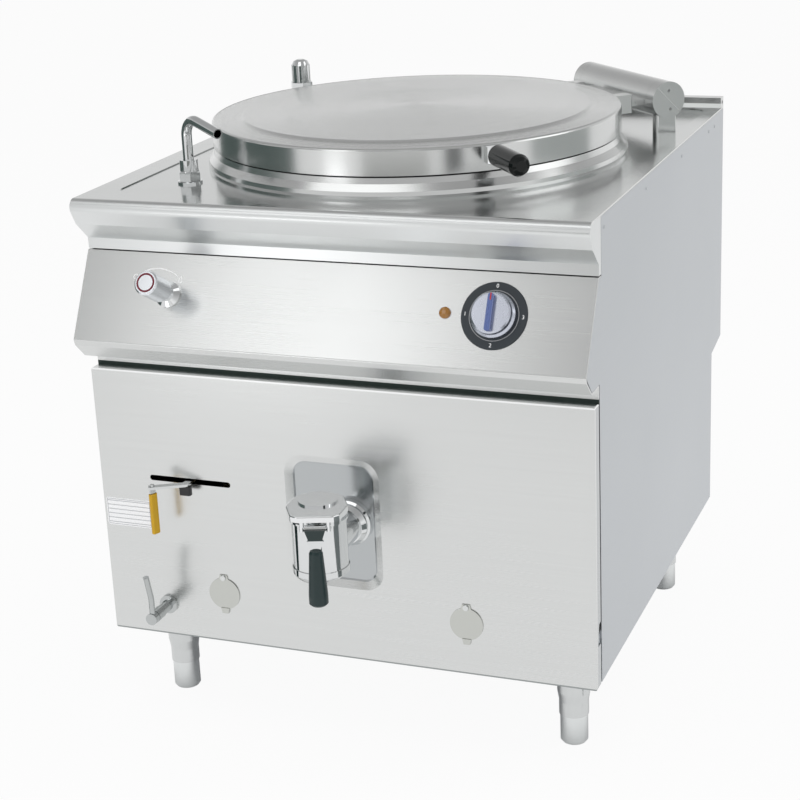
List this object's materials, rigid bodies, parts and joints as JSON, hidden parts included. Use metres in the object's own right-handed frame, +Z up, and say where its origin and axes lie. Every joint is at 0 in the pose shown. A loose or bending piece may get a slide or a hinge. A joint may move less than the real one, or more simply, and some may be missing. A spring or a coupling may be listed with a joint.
{
  "type": "jacketed boiling kettle",
  "caption": "Free-standing electric boiling kettle with a round jacketed vessel, hinged lid, swivel filling spout, front draw-off tap and sloping control fascia.",
  "frame": {"origin": "on the floor under the middle of the object", "axes": "+X right and +Y to the rear as the user sees the controls, +Z up"},
  "size_m": [0.8024, 1.0371, 0.9542],
  "materials": {
    "brushed_steel": "brushed",
    "polished_steel": "polished",
    "chrome": "polished",
    "black_plastic": "satin",
    "bakelite": "satin",
    "red_plastic": "gloss",
    "yellow_vinyl": "satin",
    "amber_lens": "gloss",
    "brass": "machined",
    "gasket_rubber": "matte",
    "mineral_wool": "matte",
    "grey_plastic": "matte",
    "satin_knob": "satin"
  },
  "bodies": {
    "cabinet": {"base_pan": "brushed_steel", "left_side_panel": "brushed_steel", "right_side_panel": "brushed_steel", "rear_panel": "brushed_steel", "front_panel": "brushed_steel", "control_panel": "brushed_steel", "worktop": "polished_steel", "rear_rail": "brushed_steel", "leg_sleeves": "brushed_steel", "kettle_collar": "polished_steel", "inner_vessel": "polished_steel", "steam_jacket": "brushed_steel", "insulation": "mineral_wool", "heater_flange": "brass", "heating_elements": "brushed_steel", "heater_cover": "brushed_steel", "relief_pipe": "brass", "relief_valve": "chrome", "spout_base": "chrome", "water_valve": "chrome", "water_pipe": "brass", "dial_plate": "black_plastic", "heat_switch": "black_plastic", "pilot_lamp": "amber_lens", "contactor": "grey_plastic", "drain_tube": "brushed_steel", "tap_nut": "chrome", "tap_body": "chrome", "jacket_valve": "brass", "cock_body": "chrome", "cover_screws": "brushed_steel", "hinge_posts": "polished_steel", "side_rivets": "brushed_steel", "cable_gland": "black_plastic"},
    "lid": {"lid_skin": "polished_steel", "lid_liner": "polished_steel", "lid_gasket": "gasket_rubber", "lid_handle_bracket": "chrome", "lid_grip": "bakelite", "lid_arm": "polished_steel", "hinge_tube": "polished_steel"},
    "spout": {"spout_tube": "chrome"},
    "water_control": {"water_knob": "chrome", "water_knob_ring": "red_plastic"},
    "heat_control": {"heat_knob": "satin_knob"},
    "relief_control": {"relief_cap": "chrome"},
    "tap_core": {"tap_plug": "brass", "tap_cap": "chrome"},
    "tap_handle": {"tap_lever": "chrome", "tap_grip": "bakelite"},
    "jacket_lever": {"lever_bar": "brushed_steel", "lever_socket": "black_plastic", "lever_sleeve": "yellow_vinyl"},
    "level_handle": {"cock_handle": "chrome"},
    "left_cover": {"cover_left": "brushed_steel"},
    "right_cover": {"cover_right": "brushed_steel"},
    "front_left_foot": {"foot_front_left": "brushed_steel"},
    "front_right_foot": {"foot_front_right": "brushed_steel"},
    "rear_left_foot": {"foot_rear_left": "brushed_steel"},
    "rear_right_foot": {"foot_rear_right": "brushed_steel"}
  },
  "joints": [
    {"name": "lid_hinge", "type": "hinge", "parent": "cabinet", "child": "lid", "pos_m": [0.28284, 0.34484, 0.905], "axis": [-0.7071, 0.7071, 0], "range_deg": [0, 88], "stiffness_Nm_per_rad": 16, "springref_deg": 143.24},
    {"name": "spout_swivel", "type": "hinge", "parent": "cabinet", "child": "spout", "pos_m": [-0.273, -0.207, 0.9], "axis": [0, 0, 1], "range_deg": [-90, 75]},
    {"name": "water_valve_turn", "type": "hinge", "parent": "cabinet", "child": "water_control", "pos_m": [-0.252, -0.3437, 0.7091], "axis": [0, -0.8746, 0.4848], "range_deg": [0, 90]},
    {"name": "heat_selector", "type": "hinge", "parent": "cabinet", "child": "heat_control", "pos_m": [0.258, -0.3437, 0.7091], "axis": [0, -0.8746, 0.4848], "range_deg": [0, 270]},
    {"name": "relief_cap_turn", "type": "hinge", "parent": "cabinet", "child": "relief_control", "pos_m": [-0.334, 0.365, 0.92], "axis": [0, 0, 1], "range_deg": [0, 90]},
    {"name": "tap_turn", "type": "hinge", "parent": "cabinet", "child": "tap_core", "pos_m": [0.018, -0.448, 0.4], "axis": [0, 0, 1], "range_deg": [0, 90]},
    {"name": "tap_handle_lift", "type": "hinge", "parent": "tap_core", "child": "tap_handle", "pos_m": [0.03407, -0.49745, 0.427], "axis": [-0.9511, -0.309, 0], "range_deg": [0, 85]},
    {"name": "jacket_lever_swing", "type": "hinge", "parent": "cabinet", "child": "jacket_lever", "pos_m": [-0.245, -0.224, 0.41], "axis": [0, 0, 1], "range_deg": [-20, 20]},
    {"name": "level_cock_turn", "type": "hinge", "parent": "cabinet", "child": "level_handle", "pos_m": [-0.3, -0.396, 0.196], "axis": [0, -1, 0], "range_deg": [0, 90]},
    {"name": "left_cover_swing", "type": "hinge", "parent": "cabinet", "child": "left_cover", "pos_m": [-0.2, -0.341, 0.253], "axis": [0, 1, 0], "range_deg": [-110, 110]},
    {"name": "right_cover_swing", "type": "hinge", "parent": "cabinet", "child": "right_cover", "pos_m": [0.2, -0.341, 0.253], "axis": [0, 1, 0], "range_deg": [-110, 110]},
    {"name": "front_left_foot_screw", "type": "slide", "parent": "cabinet", "child": "front_left_foot", "axis": [0, 0, -1], "range_m": [0, 0.025]},
    {"name": "front_right_foot_screw", "type": "slide", "parent": "cabinet", "child": "front_right_foot", "axis": [0, 0, -1], "range_m": [0, 0.025]},
    {"name": "rear_left_foot_screw", "type": "slide", "parent": "cabinet", "child": "rear_left_foot", "axis": [0, 0, -1], "range_m": [0, 0.025]},
    {"name": "rear_right_foot_screw", "type": "slide", "parent": "cabinet", "child": "rear_right_foot", "axis": [0, 0, -1], "range_m": [0, 0.025]}
  ]
}
